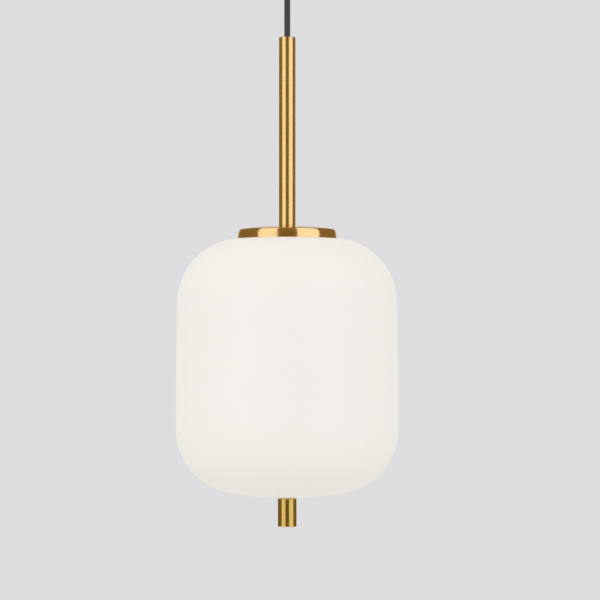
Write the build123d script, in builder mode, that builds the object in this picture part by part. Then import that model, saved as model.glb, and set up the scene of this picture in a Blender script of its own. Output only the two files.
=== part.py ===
from build123d import *
import os
from math import asin, cos, degrees, pi, radians, sin

# Pendant ceiling light: an opal glass shade under a shallow brass cap and a slim brass stem,
# hung by its cord from a brass ceiling canopy and closed below by a brass thumb nut.
# Sizes are in millimetres. +Z is up, and the origin is the centre of the ceiling bracket's
# mounting face, so the whole lamp hangs below z = 0.

os.makedirs("parts", exist_ok=True)

# ---------------------------------------------------------------- driving dimensions

# Ceiling canopy and its bracket.
CANOPY_R = 50.0
CANOPY_DEPTH = 26.0
CANOPY_WALL = 1.2
CANOPY_EDGE_R = 2.5
BRACKET_LENGTH = 92.0
BRACKET_WIDTH = 20.0
BRACKET_THICKNESS = 1.5
BRACKET_FLANGE = 16.0
BRACKET_BEND_R = 1.2
CEILING_HOLE_PITCH = 60.0
CEILING_HOLE_R = 2.6
CABLE_HOLE_R = 9.0
SIDE_SCREW_DROP = 10.0
EARTH_SCREW_X = -18.0

# M4 screws of the ceiling fitting: the screw, its tapped hole, and a clear hole.
M4_R = 1.95
M4_THREAD_R = 2.0
M4_CLEAR_R = 2.2
M4_SLOT_WIDTH = 0.9

# Cord, and the bell mouths that it swings in.
CORD_R = 3.0
CORD_SPAN = 60.0
CORD_BORE_R = 3.1
PIVOT_DEPTH = 2.0
BELL_R = 4.4
BELL_START = 1.5
CORD_END_GAP = 0.4
GRIP_LENGTH = 12.0
GRIP_R = 7.0
GRIP_NECK = 8.0

# Stem and cap.
STEM_R = 8.35
STEM_WALL = 2.0
STEM_LENGTH = 189.0
STEM_EDGE_R = 1.6
CAP_R = 50.0
CAP_HEIGHT = 13.8
CAP_WALL = 1.5
CAP_SEAT_R = 9.0
CAP_DOME_R = 260.0
CAP_EDGE_R = 1.6
CAP_EDGE_END = 70.5
CAP_SIDE_R = 21.0

# Glass shade: tangent arcs, each given by its radius and the turn, in degrees, at its end.
GLASS_WALL = 3.5
GLASS_MOUTH_R = 43.0
GLASS_FLAT_R = 52.3
GLASS_ARCS = ((41.2, 16.8), (64.7, 88.78), (4843.0, 90.3), (64.0, 169.0))
GLASS_HOLE_R = 6.0
SEAT_GAP = 0.2

# Inner frame that carries the glass from below.
ROD_X = 36.5
ROD_R = 2.5
FRAME_END_R = 41.0
PLATE_WIDTH = 20.0
PLATE_THICKNESS = 2.5
PLATE_DROP = 6.0
BAR_WIDTH = 16.0
BAR_THICKNESS = 4.0
BAR_DEPTH = 241.0
STUD_R = 3.0
STUD_LENGTH = 36.0
M5_NUT_WIDTH = 8.0
M6_NUT_WIDTH = 10.0

# Finial and its washers.
FINIAL_R = 9.45
FINIAL_LENGTH = 28.4
FINIAL_CHAMFER = 0.8
FINIAL_RECESS_R = 7.6
FINIAL_RECESS = 2.1
FINIAL_GAP = 0.2
FINIAL_BORE_GAP = 0.06
FINIAL_BORE_DEPTH = 19.0
RUBBER_WASHER = 1.2
STEEL_WASHER = 0.8
WASHER_R = 7.3
WASHER_PLAY = 0.3
RUBBER_GAP = 0.05
STEEL_GAP = 0.02

# Threads are plain cylinders. A nut's bore is this much wider than its screw.
THREAD_GAP = 0.05
M10_R = 5.0
M10_NUT_WIDTH = 14.0

# ---------------------------------------------------------------- levels, from the ceiling down

GRIP_TOP = -CANOPY_DEPTH + GRIP_NECK
GRIP_MOUTH = -CANOPY_DEPTH - GRIP_LENGTH
UPPER_PIVOT = GRIP_MOUTH + PIVOT_DEPTH
STEM_TOP = GRIP_MOUTH - CORD_SPAN
LOWER_PIVOT = STEM_TOP - PIVOT_DEPTH
STEM_FOOT = STEM_TOP - STEM_LENGTH
CAP_RIM = STEM_FOOT - CAP_HEIGHT
GLASS_TOP = CAP_RIM - SEAT_GAP
PLATE_TOP = STEM_FOOT - PLATE_DROP
PLATE_BOTTOM = PLATE_TOP - PLATE_THICKNESS
BAR_TOP = GLASS_TOP - BAR_DEPTH
BAR_BOTTOM = BAR_TOP - BAR_THICKNESS


def glass_bottom():
    """Height of the lowest point of the glass, where its last arc meets the axis."""
    r, z, turn = GLASS_FLAT_R, GLASS_TOP, 0.0
    for radius, end in GLASS_ARCS:
        r += radius * (sin(radians(end)) - sin(radians(turn)))
        z -= radius * (cos(radians(turn)) - cos(radians(end)))
        turn = end
    last = r / sin(radians(turn))
    return z - last * (1 + cos(radians(turn)))


GLASS_BOTTOM = glass_bottom()
FINIAL_TOP = GLASS_BOTTOM - FINIAL_GAP
FINIAL_BOTTOM = FINIAL_TOP - FINIAL_LENGTH


def arc_chain(start, turn, arcs, inset):
    """Tangent arcs that bend steadily downwards, run inset inside the given radii."""
    point = start
    for radius, end in arcs:
        heading = (cos(radians(turn)), -sin(radians(turn)))
        arc = JernArc(point, heading, radius - inset, turn - end)
        point = arc @ 1
        turn = end
    return point


def glass_line(inset):
    """One face of the glass wall: the flat top, then arcs down to the axis."""
    level = GLASS_TOP - inset
    Line((GLASS_MOUTH_R, level), (GLASS_FLAT_R, level))
    end = arc_chain((GLASS_FLAT_R, level), 0.0, GLASS_ARCS, inset)
    turn = GLASS_ARCS[-1][1]
    heading = (cos(radians(turn)), -sin(radians(turn)))
    last = JernArc(end, heading, end.X / sin(radians(turn)), turn - 180.0)
    return last @ 1


def cap_dome_end():
    """Slope in degrees where the dome ends, for a rim of radius CAP_R."""
    edge = sin(radians(CAP_EDGE_END))
    dome_share = CAP_R - CAP_EDGE_R * edge - CAP_SIDE_R * (1 - edge)
    return degrees(asin(dome_share / (CAP_DOME_R - CAP_EDGE_R)))


def cap_line(inset):
    """One face of the cap: flat seat, dome, rounded edge, and side down to the rim."""
    seat_turn = degrees(asin(CAP_SEAT_R / CAP_DOME_R))
    shift = inset * sin(radians(seat_turn))
    seat = (CAP_SEAT_R - shift, STEM_FOOT - inset * cos(radians(seat_turn)))
    Line((M10_R + THREAD_GAP, seat[1]), seat)
    arcs = ((CAP_DOME_R, cap_dome_end()), (CAP_EDGE_R, CAP_EDGE_END), (CAP_SIDE_R, 90.0))
    end = arc_chain(seat, seat_turn, arcs, inset)
    Line(end, (end.X, CAP_RIM))
    return end.X


def hex_nut(width, hole_r, low, high):
    """A hexagon nut of the given width across flats, between two levels."""
    with BuildSketch(Plane.XY.offset(low)) as profile:
        RegularPolygon(width / 2, 6, major_radius=False)
        Circle(hole_r, mode=Mode.SUBTRACT)
    extrude(profile.sketch, amount=high - low)


def ring(outer_r, inner_r, low, high):
    """A flat ring about the lamp's axis, between two levels."""
    with BuildSketch(Plane.XY.offset(low)) as profile:
        Circle(outer_r)
        Circle(inner_r, mode=Mode.SUBTRACT)
    extrude(profile.sketch, amount=high - low)


def rod(radius, low, high):
    """A round rod on the lamp's axis, between two levels."""
    with BuildSketch(Plane.XY.offset(low)) as profile:
        Circle(radius)
    extrude(profile.sketch, amount=high - low)


def turned(*points):
    """A closed outline of (radius, height) points, turned about the lamp's axis."""
    with BuildSketch(Plane.XZ) as profile:
        with BuildLine():
            Polyline(*points, close=True)
        make_face()
    revolve(profile.sketch, axis=Axis.Z)


def below(level, outline):
    """Points of an outline whose heights are given as drops below a level."""
    return [(radius, level - drop) for radius, drop in outline]


def wire(radius, points, bend_r):
    """An insulated conductor along straight runs joined by tangent arcs."""
    with BuildLine() as route:
        FilletPolyline(*points, radius=bend_r)
    with BuildSketch(Plane(origin=route.line @ 0, z_dir=route.line % 0)) as profile:
        Circle(radius)
    sweep(profile.sketch, path=route.line)


# ---------------------------------------------------------------- ceiling fitting

# Steel strap under the ceiling, with both ends bent down to take the canopy's side screws.
with BuildPart() as ceiling_bracket:
    with BuildSketch():
        Rectangle(BRACKET_LENGTH, BRACKET_WIDTH)
        Circle(CABLE_HOLE_R, mode=Mode.SUBTRACT)
        with GridLocations(CEILING_HOLE_PITCH, 1, 2, 1):
            Circle(CEILING_HOLE_R, mode=Mode.SUBTRACT)
        with Locations((EARTH_SCREW_X, 0)):
            Circle(M4_THREAD_R, mode=Mode.SUBTRACT)
    extrude(amount=-BRACKET_THICKNESS)
    with BuildSketch(Plane.XY.offset(-BRACKET_THICKNESS)):
        with GridLocations(BRACKET_LENGTH - BRACKET_THICKNESS, 1, 2, 1):
            Rectangle(BRACKET_THICKNESS, BRACKET_WIDTH)
    extrude(amount=BRACKET_THICKNESS - BRACKET_FLANGE)
    with BuildSketch(Plane.YZ.offset(-BRACKET_LENGTH)):
        with Locations((0, -SIDE_SCREW_DROP)):
            Circle(M4_THREAD_R)
    extrude(amount=2 * BRACKET_LENGTH, mode=Mode.SUBTRACT)
    bends = ceiling_bracket.edges().filter_by(Axis.Y).group_by(Axis.Z)[-1]
    fillet(bends, BRACKET_BEND_R)
ceiling_bracket.part.label = "ceiling_bracket"
export_step(ceiling_bracket.part, "parts/ceiling_bracket.step")

# Earth terminal screw in the strap. The earth lead's ring lies between head and strap.
EARTH_RING_GAP = 0.1
EARTH_RING_THICKNESS = 1.4
EARTH_RING_TOP = -BRACKET_THICKNESS - EARTH_RING_GAP
EARTH_RING_BOTTOM = EARTH_RING_TOP - EARTH_RING_THICKNESS
EARTH_SCREW_END = -0.2
EARTH_HEAD_R = 3.6
EARTH_HEAD_HEIGHT = 2.4
EARTH_SLOT_LENGTH = 7.4
EARTH_SLOT_DEPTH = 1.0
with BuildPart() as earth_screw:
    with BuildSketch(Plane.XY.offset(EARTH_RING_BOTTOM)):
        with Locations((EARTH_SCREW_X, 0)):
            Circle(M4_R)
    extrude(amount=EARTH_SCREW_END - EARTH_RING_BOTTOM)
    with BuildSketch(Plane.XY.offset(EARTH_RING_BOTTOM)):
        with Locations((EARTH_SCREW_X, 0)):
            Circle(EARTH_HEAD_R)
    extrude(amount=-EARTH_HEAD_HEIGHT)
    with BuildSketch(Plane.XY.offset(EARTH_RING_BOTTOM - EARTH_HEAD_HEIGHT)):
        with Locations((EARTH_SCREW_X, 0)):
            Rectangle(EARTH_SLOT_LENGTH, M4_SLOT_WIDTH)
            Rectangle(M4_SLOT_WIDTH, EARTH_SLOT_LENGTH)
    extrude(amount=EARTH_SLOT_DEPTH, mode=Mode.SUBTRACT)
earth_screw.part.label = "earth_screw"
export_step(earth_screw.part, "parts/earth_screw.step")

# Brass canopy: a cup with its rim on the ceiling.
CANOPY_FLOOR = -CANOPY_DEPTH + CANOPY_WALL
RADIUS_TOLERANCE = 0.01
with BuildPart() as canopy:
    turned(
        (M10_R + THREAD_GAP, -CANOPY_DEPTH),
        (CANOPY_R, -CANOPY_DEPTH),
        (CANOPY_R, 0),
        (CANOPY_R - CANOPY_WALL, 0),
        (CANOPY_R - CANOPY_WALL, CANOPY_FLOOR),
        (M10_R + THREAD_GAP, CANOPY_FLOOR),
    )
    circles = canopy.edges().filter_by(GeomType.CIRCLE)
    fillet(circles.group_by(Axis.Z)[0].sort_by(SortBy.RADIUS)[-1], CANOPY_EDGE_R)
    inner = canopy.edges().filter_by(GeomType.CIRCLE).filter_by(
        lambda edge: abs(edge.radius - CANOPY_R + CANOPY_WALL) < RADIUS_TOLERANCE
        and edge.center().Z < -CANOPY_DEPTH / 2
    )
    fillet(inner, CANOPY_EDGE_R - CANOPY_WALL)
    with BuildSketch(Plane.YZ.offset(-2 * CANOPY_R)):
        with Locations((0, -SIDE_SCREW_DROP)):
            Circle(M4_CLEAR_R)
    extrude(amount=4 * CANOPY_R, mode=Mode.SUBTRACT)
canopy.part.label = "canopy"
export_step(canopy.part, "parts/canopy.step")

# Two side screws through the canopy's wall into the strap's ends.
SIDE_SCREW_REACH = 3.0
SIDE_HEAD_GAP = 0.05
SIDE_HEAD_R = 3.5
SIDE_HEAD_HEIGHT = 2.4
SIDE_HEAD_EDGE_R = 1.0
SIDE_SLOT_LENGTH = 8.0
SIDE_SLOT_DEPTH = 0.9
SCREW_TIP_X = BRACKET_LENGTH / 2 - SIDE_SCREW_REACH
SCREW_HEAD_X = CANOPY_R + SIDE_HEAD_GAP
with BuildPart() as canopy_screws:
    with BuildSketch(Plane.YZ.offset(SCREW_TIP_X)):
        with Locations((0, -SIDE_SCREW_DROP)):
            Circle(M4_R)
    extrude(amount=SCREW_HEAD_X - SCREW_TIP_X)
    with BuildSketch(Plane.YZ.offset(SCREW_HEAD_X)):
        with Locations((0, -SIDE_SCREW_DROP)):
            Circle(SIDE_HEAD_R)
    extrude(amount=SIDE_HEAD_HEIGHT)
    rims = canopy_screws.edges().filter_by(GeomType.CIRCLE).group_by(Axis.X)[-1]
    fillet(rims, SIDE_HEAD_EDGE_R)
    with BuildSketch(Plane.YZ.offset(SCREW_HEAD_X + SIDE_HEAD_HEIGHT)):
        with Locations((0, -SIDE_SCREW_DROP)):
            Rectangle(SIDE_SLOT_LENGTH, M4_SLOT_WIDTH)
    extrude(amount=-SIDE_SLOT_DEPTH, mode=Mode.SUBTRACT)
    mirror(about=Plane.YZ)
canopy_screws.part.label = "canopy_screws"
export_step(canopy_screws.part, "parts/canopy_screws.step")

# Two-way terminal block under the strap, with side entries for the wires.
BLOCK_X = 17.2
BLOCK_LENGTH = 14.0
BLOCK_WIDTH = 20.0
BLOCK_HEIGHT = 12.0
BLOCK_TOP = -BRACKET_THICKNESS
BLOCK_BOTTOM = BLOCK_TOP - BLOCK_HEIGHT
BLOCK_POLE_Y = 5.0
BLOCK_SCREW_PITCH = 7.0
BLOCK_NOTCH_R = 1.2
BLOCK_BORE_R = 1.7
BLOCK_WELL_R = 1.9
BLOCK_WELL_DEPTH = 3.2
WIRE_LEVEL = -8.5
with BuildPart() as terminal_block:
    with BuildSketch(Plane.XY.offset(BLOCK_BOTTOM)):
        with Locations((BLOCK_X, 0)):
            Rectangle(BLOCK_LENGTH, BLOCK_WIDTH)
            with GridLocations(BLOCK_SCREW_PITCH, BLOCK_WIDTH, 1, 2):
                Circle(BLOCK_NOTCH_R, mode=Mode.SUBTRACT)
    extrude(amount=BLOCK_TOP - BLOCK_BOTTOM)
    with BuildSketch(Plane.YZ.offset(BLOCK_X - BLOCK_LENGTH)):
        with Locations((-BLOCK_POLE_Y, WIRE_LEVEL), (BLOCK_POLE_Y, WIRE_LEVEL)):
            Circle(BLOCK_BORE_R)
    extrude(amount=2 * BLOCK_LENGTH, mode=Mode.SUBTRACT)
    with BuildSketch(Plane.XY.offset(BLOCK_BOTTOM)):
        with Locations((BLOCK_X, 0)):
            with GridLocations(BLOCK_SCREW_PITCH, 2 * BLOCK_POLE_Y, 2, 2):
                Circle(BLOCK_WELL_R)
    extrude(amount=BLOCK_WELL_DEPTH, mode=Mode.SUBTRACT)
terminal_block.part.label = "terminal_block"
export_step(terminal_block.part, "parts/terminal_block.step")

# Four clamping screws in the block's wells.
TERMINAL_HEAD_LEVEL = BLOCK_BOTTOM + 0.8
TERMINAL_SCREW_R = 1.8
TERMINAL_SCREW_LENGTH = 2.3
TERMINAL_SLOT_LENGTH = 4.0
TERMINAL_SLOT_WIDTH = 0.6
TERMINAL_SLOT_DEPTH = 0.8
with BuildPart() as terminal_screws:
    with BuildSketch(Plane.XY.offset(TERMINAL_HEAD_LEVEL)):
        with Locations((BLOCK_X, 0)):
            with GridLocations(BLOCK_SCREW_PITCH, 2 * BLOCK_POLE_Y, 2, 2):
                Circle(TERMINAL_SCREW_R)
    extrude(amount=TERMINAL_SCREW_LENGTH)
    with BuildSketch(Plane.XY.offset(TERMINAL_HEAD_LEVEL)):
        with Locations((BLOCK_X, 0)):
            with GridLocations(BLOCK_SCREW_PITCH, 2 * BLOCK_POLE_Y, 2, 2):
                Rectangle(TERMINAL_SLOT_LENGTH, TERMINAL_SLOT_WIDTH)
    extrude(amount=TERMINAL_SLOT_DEPTH, mode=Mode.SUBTRACT)
terminal_screws.part.label = "terminal_screws"
export_step(terminal_screws.part, "parts/terminal_screws.step")

# Cord grip: a threaded neck through the canopy, a round barrel below, and a bell mouth.
GRIP_SCREW_LEVEL = -CANOPY_DEPTH - 5.0
GRIP_SCREW_R = 1.5
GRIP_EDGE_R = 1.2
BELL_TOP = UPPER_PIVOT + BELL_START
with BuildPart() as cord_grip:
    turned(
        (CORD_BORE_R, GRIP_TOP),
        (M10_R, GRIP_TOP),
        (M10_R, -CANOPY_DEPTH),
        (GRIP_R, -CANOPY_DEPTH),
        (GRIP_R, GRIP_MOUTH),
        (BELL_R, GRIP_MOUTH),
        (CORD_BORE_R, BELL_TOP),
    )
    rims = cord_grip.edges().filter_by(GeomType.CIRCLE).group_by(Axis.Z)[0]
    fillet(rims.sort_by(SortBy.RADIUS)[-1], GRIP_EDGE_R)
    with BuildSketch(Plane.YZ):
        with Locations((0, GRIP_SCREW_LEVEL)):
            Circle(GRIP_SCREW_R + THREAD_GAP)
    extrude(amount=2 * GRIP_R, mode=Mode.SUBTRACT)
cord_grip.part.label = "cord_grip"
export_step(cord_grip.part, "parts/cord_grip.step")

# Nut that clamps the grip's neck in the canopy.
GRIP_NUT_HEIGHT = 3.0
with BuildPart() as grip_nut:
    hex_nut(M10_NUT_WIDTH, M10_R + THREAD_GAP, CANOPY_FLOOR, CANOPY_FLOOR + GRIP_NUT_HEIGHT)
grip_nut.part.label = "grip_nut"
export_step(grip_nut.part, "parts/grip_nut.step")

# Grub screw that presses on the cord inside the grip.
GRIP_SCREW_INNER_X = CORD_R + 0.02
GRIP_SCREW_OUTER_X = GRIP_R - 0.18
HEX_SOCKET_WIDTH = 1.6
HEX_SOCKET_DEPTH = 1.6
with BuildPart() as grip_screw:
    with BuildSketch(Plane.YZ.offset(GRIP_SCREW_INNER_X)):
        with Locations((0, GRIP_SCREW_LEVEL)):
            Circle(GRIP_SCREW_R)
    extrude(amount=GRIP_SCREW_OUTER_X - GRIP_SCREW_INNER_X)
    with BuildSketch(Plane.YZ.offset(GRIP_SCREW_OUTER_X)):
        with Locations((0, GRIP_SCREW_LEVEL)):
            RegularPolygon(HEX_SOCKET_WIDTH / 2, 6, major_radius=False)
    extrude(amount=-HEX_SOCKET_DEPTH, mode=Mode.SUBTRACT)
grip_screw.part.label = "grip_screw"
export_step(grip_screw.part, "parts/grip_screw.step")

# End of the cord that the grip holds, up to where its conductors part.
TAIL_RISE = 4.0
TAIL_TOP = GRIP_TOP + TAIL_RISE
with BuildPart() as cord_tail:
    rod(CORD_R, UPPER_PIVOT + CORD_R + CORD_END_GAP, TAIL_TOP)
cord_tail.part.label = "cord_tail"
export_step(cord_tail.part, "parts/cord_tail.step")

# Line and neutral conductors from the cord's end into the terminal block.
LEAD_R = 0.8
LEAD_START_X = 0.6
LEAD_START_Y = 1.3
LEAD_SPREAD_X = 5.5
LEAD_END_X = BLOCK_X - 2.0
LEAD_BEND_R = 1.8
with BuildPart() as supply_leads:
    for side in (-1, 1):
        route = (
            (LEAD_START_X, side * LEAD_START_Y, TAIL_TOP),
            (LEAD_START_X, side * LEAD_START_Y, WIRE_LEVEL),
            (LEAD_SPREAD_X, side * BLOCK_POLE_Y, WIRE_LEVEL),
            (LEAD_END_X, side * BLOCK_POLE_Y, WIRE_LEVEL),
        )
        wire(LEAD_R, route, LEAD_BEND_R)
supply_leads.part.label = "supply_leads"
export_step(supply_leads.part, "parts/supply_leads.step")

# Earth conductor with its ring terminal round the earth screw.
EARTH_WIRE_R = 0.65
EARTH_WIRE_LEVEL = (EARTH_RING_TOP + EARTH_RING_BOTTOM) / 2
EARTH_START_X = -1.7
EARTH_TURN_LEVEL = -9.0
EARTH_RUN_X = -7.5
EARTH_END_X = EARTH_SCREW_X + 3.0
EARTH_BEND_R = 2.5
EARTH_RING_R = 3.9
EARTH_RING_HOLE_R = 2.1
with BuildPart() as earth_lead:
    earth_route = (
        (EARTH_START_X, 0, TAIL_TOP),
        (EARTH_START_X, 0, EARTH_TURN_LEVEL),
        (EARTH_RUN_X, 0, EARTH_WIRE_LEVEL),
        (EARTH_END_X, 0, EARTH_WIRE_LEVEL),
    )
    wire(EARTH_WIRE_R, earth_route, EARTH_BEND_R)
    with BuildSketch(Plane.XY.offset(EARTH_RING_BOTTOM)):
        with Locations((EARTH_SCREW_X, 0)):
            Circle(EARTH_RING_R)
            Circle(EARTH_RING_HOLE_R, mode=Mode.SUBTRACT)
    extrude(amount=EARTH_RING_TOP - EARTH_RING_BOTTOM)
earth_lead.part.label = "earth_lead"
export_step(earth_lead.part, "parts/earth_lead.step")

# ---------------------------------------------------------------- free span of the cord

# A straight hanging cord. Its rounded ends sit on the two pivots, inside the bell mouths.
CORD_ROUTE = ((0, 0, UPPER_PIVOT), (0, 0, LOWER_PIVOT))
with BuildPart() as cord:
    with BuildSketch(Plane.XZ):
        with BuildLine():
            CenterArc((0, UPPER_PIVOT), CORD_R, 0, 90)
            Line((CORD_R, UPPER_PIVOT), (CORD_R, LOWER_PIVOT))
            CenterArc((0, LOWER_PIVOT), CORD_R, 270, 90)
            Line((0, LOWER_PIVOT - CORD_R), (0, UPPER_PIVOT + CORD_R))
        make_face()
    revolve(axis=Axis.Z)
cord.part.label = "cord"
export_step(cord.part, "parts/cord.step")
print("cord: one straight run of", CORD_ROUTE[0][2] - CORD_ROUTE[1][2], "mm, no bends")
CORD_RUN = pi * CORD_R**2 * (UPPER_PIVOT - LOWER_PIVOT)
CORD_BALL = 4 / 3 * pi * CORD_R**3
print("cord: volume", cord.part.volume, "of", CORD_RUN + CORD_BALL)

# ---------------------------------------------------------------- stem

# Brass tube with a rounded top edge.
with BuildPart() as stem:
    ring(STEM_R, STEM_R - STEM_WALL, STEM_FOOT, STEM_TOP)
    top_rims = stem.edges().filter_by(GeomType.CIRCLE).group_by(Axis.Z)[-1]
    fillet(top_rims.sort_by(SortBy.RADIUS)[-1], STEM_EDGE_R)
stem.part.label = "stem"
export_step(stem.part, "parts/stem.step")

# Bush in the top of the stem, with a bell mouth that the cord swings in.
TOP_BUSH_LENGTH = 14.0
with BuildPart() as stem_top_bush:
    turned(
        (BELL_R, STEM_TOP),
        (STEM_R - STEM_WALL, STEM_TOP),
        (STEM_R - STEM_WALL, STEM_TOP - TOP_BUSH_LENGTH),
        (CORD_BORE_R, STEM_TOP - TOP_BUSH_LENGTH),
        (CORD_BORE_R, LOWER_PIVOT - BELL_START),
    )
stem_top_bush.part.label = "stem_top_bush"
export_step(stem_top_bush.part, "parts/stem_top_bush.step")

# Threaded bush in the foot of the stem.
FOOT_BUSH_LENGTH = 17.0
with BuildPart() as stem_bottom_bush:
    ring(STEM_R - STEM_WALL, M10_R + THREAD_GAP, STEM_FOOT, STEM_FOOT + FOOT_BUSH_LENGTH)
stem_bottom_bush.part.label = "stem_bottom_bush"
export_step(stem_bottom_bush.part, "parts/stem_bottom_bush.step")

# Threaded tube that holds stem, cap, plate and lampholder together.
NIPPLE_BORE_R = 3.6
NIPPLE_BOTTOM = STEM_FOOT - 24.0
NIPPLE_TOP = STEM_FOOT + 13.0
with BuildPart() as nipple:
    ring(M10_R, NIPPLE_BORE_R, NIPPLE_BOTTOM, NIPPLE_TOP)
nipple.part.label = "nipple"
export_step(nipple.part, "parts/nipple.step")

# Cord inside the stem, down to the lampholder.
STEM_CORD_SHORT = 2.0
STEM_CORD_BOTTOM = NIPPLE_BOTTOM + STEM_CORD_SHORT
with BuildPart() as stem_cord:
    rod(CORD_R, STEM_CORD_BOTTOM, LOWER_PIVOT - CORD_R - CORD_END_GAP)
stem_cord.part.label = "stem_cord"
export_step(stem_cord.part, "parts/stem_cord.step")

# ---------------------------------------------------------------- cap and inner frame

# Shallow domed brass cap over the mouth of the glass.
with BuildPart() as cap:
    with BuildSketch(Plane.XZ):
        with BuildLine():
            outer_x = cap_line(0.0)
            inner_x = cap_line(CAP_WALL)
            Line((outer_x, CAP_RIM), (inner_x, CAP_RIM))
            Line(
                (M10_R + THREAD_GAP, STEM_FOOT),
                (M10_R + THREAD_GAP, STEM_FOOT - CAP_WALL * cos(asin(CAP_SEAT_R / CAP_DOME_R))),
            )
        make_face()
    revolve(axis=Axis.Z)
cap.part.label = "cap"
export_step(cap.part, "parts/cap.step")

# Ring that spaces the plate below the cap.
SPACER_R = 8.8
with BuildPart() as cap_spacer:
    ring(SPACER_R, M10_R + THREAD_GAP, PLATE_TOP, STEM_FOOT - CAP_WALL)
cap_spacer.part.label = "cap_spacer"
export_step(cap_spacer.part, "parts/cap_spacer.step")

# Soft ring inside the rim, on which the glass beds.
GASKET_R = CAP_R - CAP_WALL - 0.2
GASKET_BORE_R = 44.5
GASKET_RISE = 3.2
with BuildPart() as cap_gasket:
    ring(GASKET_R, GASKET_BORE_R, CAP_RIM - SEAT_GAP / 2, CAP_RIM + GASKET_RISE)
cap_gasket.part.label = "cap_gasket"
export_step(cap_gasket.part, "parts/cap_gasket.step")


def frame_bar(width, centre_hole_r, low, high):
    """A flat bar with ends on a circle, a centre hole and a hole for each rod."""
    with BuildSketch(Plane.XY.offset(low)) as profile:
        Circle(FRAME_END_R)
        Rectangle(2 * FRAME_END_R, width, mode=Mode.INTERSECT)
        Circle(centre_hole_r, mode=Mode.SUBTRACT)
        with GridLocations(2 * ROD_X, 1, 2, 1):
            Circle(ROD_R + THREAD_GAP, mode=Mode.SUBTRACT)
    extrude(profile.sketch, amount=high - low)


# Steel bar under the cap that carries the two rods.
with BuildPart() as top_plate:
    frame_bar(PLATE_WIDTH, M10_R + THREAD_GAP, PLATE_BOTTOM, PLATE_TOP)
top_plate.part.label = "top_plate"
export_step(top_plate.part, "parts/top_plate.step")

# Nut that clamps cap, spacer and plate against the stem.
PLATE_NUT_HEIGHT = 4.0
with BuildPart() as plate_nut:
    hex_nut(M10_NUT_WIDTH, M10_R + THREAD_GAP, PLATE_BOTTOM - PLATE_NUT_HEIGHT, PLATE_BOTTOM)
plate_nut.part.label = "plate_nut"
export_step(plate_nut.part, "parts/plate_nut.step")

# Two steel rods, one on each side of the bulb.
ROD_NUT = 4.0
ROD_BOTTOM = BAR_BOTTOM - ROD_NUT - 1.0
with BuildPart() as support_rods:
    with BuildSketch(Plane.XY.offset(ROD_BOTTOM)):
        with GridLocations(2 * ROD_X, 1, 2, 1):
            Circle(ROD_R)
    extrude(amount=PLATE_TOP - ROD_BOTTOM)
support_rods.part.label = "support_rods"
export_step(support_rods.part, "parts/support_rods.step")

# Nuts that lock the rods under the plate and on both sides of the bottom bar.
with BuildPart() as rod_nuts:
    for low in (PLATE_BOTTOM - ROD_NUT, BAR_TOP, BAR_BOTTOM - ROD_NUT):
        with BuildSketch(Plane.XY.offset(low)):
            with GridLocations(2 * ROD_X, 1, 2, 1):
                RegularPolygon(M5_NUT_WIDTH / 2, 6, major_radius=False)
                Circle(ROD_R + THREAD_GAP, mode=Mode.SUBTRACT)
        extrude(amount=ROD_NUT)
rod_nuts.part.label = "rod_nuts"
export_step(rod_nuts.part, "parts/rod_nuts.step")

# Steel bar that ties the rods below the bulb and holds the stud.
with BuildPart() as bottom_bar:
    frame_bar(BAR_WIDTH, STUD_R + THREAD_GAP, BAR_BOTTOM, BAR_TOP)
bottom_bar.part.label = "bottom_bar"
export_step(bottom_bar.part, "parts/bottom_bar.step")

# Stud from the bottom bar out through the hole in the glass.
STUD_NUT = 5.0
STUD_TOP = BAR_TOP + STUD_NUT + 1.0
STUD_CHAMFER = 0.5
with BuildPart() as finial_stud:
    rod(STUD_R, STUD_TOP - STUD_LENGTH, STUD_TOP)
    chamfer(finial_stud.edges().filter_by(GeomType.CIRCLE), STUD_CHAMFER)
finial_stud.part.label = "finial_stud"
export_step(finial_stud.part, "parts/finial_stud.step")

# Two nuts that lock the stud in the bottom bar.
with BuildPart() as stud_nuts:
    hex_nut(M6_NUT_WIDTH, STUD_R + THREAD_GAP, BAR_TOP, BAR_TOP + STUD_NUT)
    hex_nut(M6_NUT_WIDTH, STUD_R + THREAD_GAP, BAR_BOTTOM - STUD_NUT, BAR_BOTTOM)
stud_nuts.part.label = "stud_nuts"
export_step(stud_nuts.part, "parts/stud_nuts.step")

# ---------------------------------------------------------------- lampholder

HOLDER_R = 19.0
HOLDER_WALL = 2.2
HOLDER_GAP = 6.0
HOLDER_CAP_HEIGHT = 21.0
HOLDER_SLEEVE = 30.0
HOLDER_LIP = 2.0
HOLDER_TOP = PLATE_BOTTOM - HOLDER_GAP
HOLDER_JOINT = HOLDER_TOP - HOLDER_CAP_HEIGHT
HOLDER_MOUTH = HOLDER_JOINT - HOLDER_SLEEVE
INSERT_HALF = 4.0
INSERT_GAP = 0.1
INSERT_TOP = HOLDER_JOINT + INSERT_HALF
INSERT_BOTTOM = HOLDER_JOINT - INSERT_HALF
SHELL_R = 14.4
SHELL_BORE_R = 13.7
SHELL_GAP = 0.1
SHELL_MOUTH = HOLDER_MOUTH + HOLDER_LIP

# Domed top of the lampholder, screwed onto the nipple: radius, and drop below its top.
HOLDER_CAP_LINE = (
    (M10_R + THREAD_GAP, 0.0),
    (8.5, 0.0),
    (8.5, 4.5),
    (15.5, 7.0),
    (HOLDER_R, 12.0),
    (HOLDER_R, HOLDER_CAP_HEIGHT),
    (HOLDER_R - HOLDER_WALL, HOLDER_CAP_HEIGHT),
    (HOLDER_R - HOLDER_WALL, 13.0),
    (14.3, 9.0),
    (M10_R + THREAD_GAP, 7.0),
)
with BuildPart() as socket_cap:
    turned(*below(HOLDER_TOP, HOLDER_CAP_LINE))
socket_cap.part.label = "socket_cap"
export_step(socket_cap.part, "parts/socket_cap.step")

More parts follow.
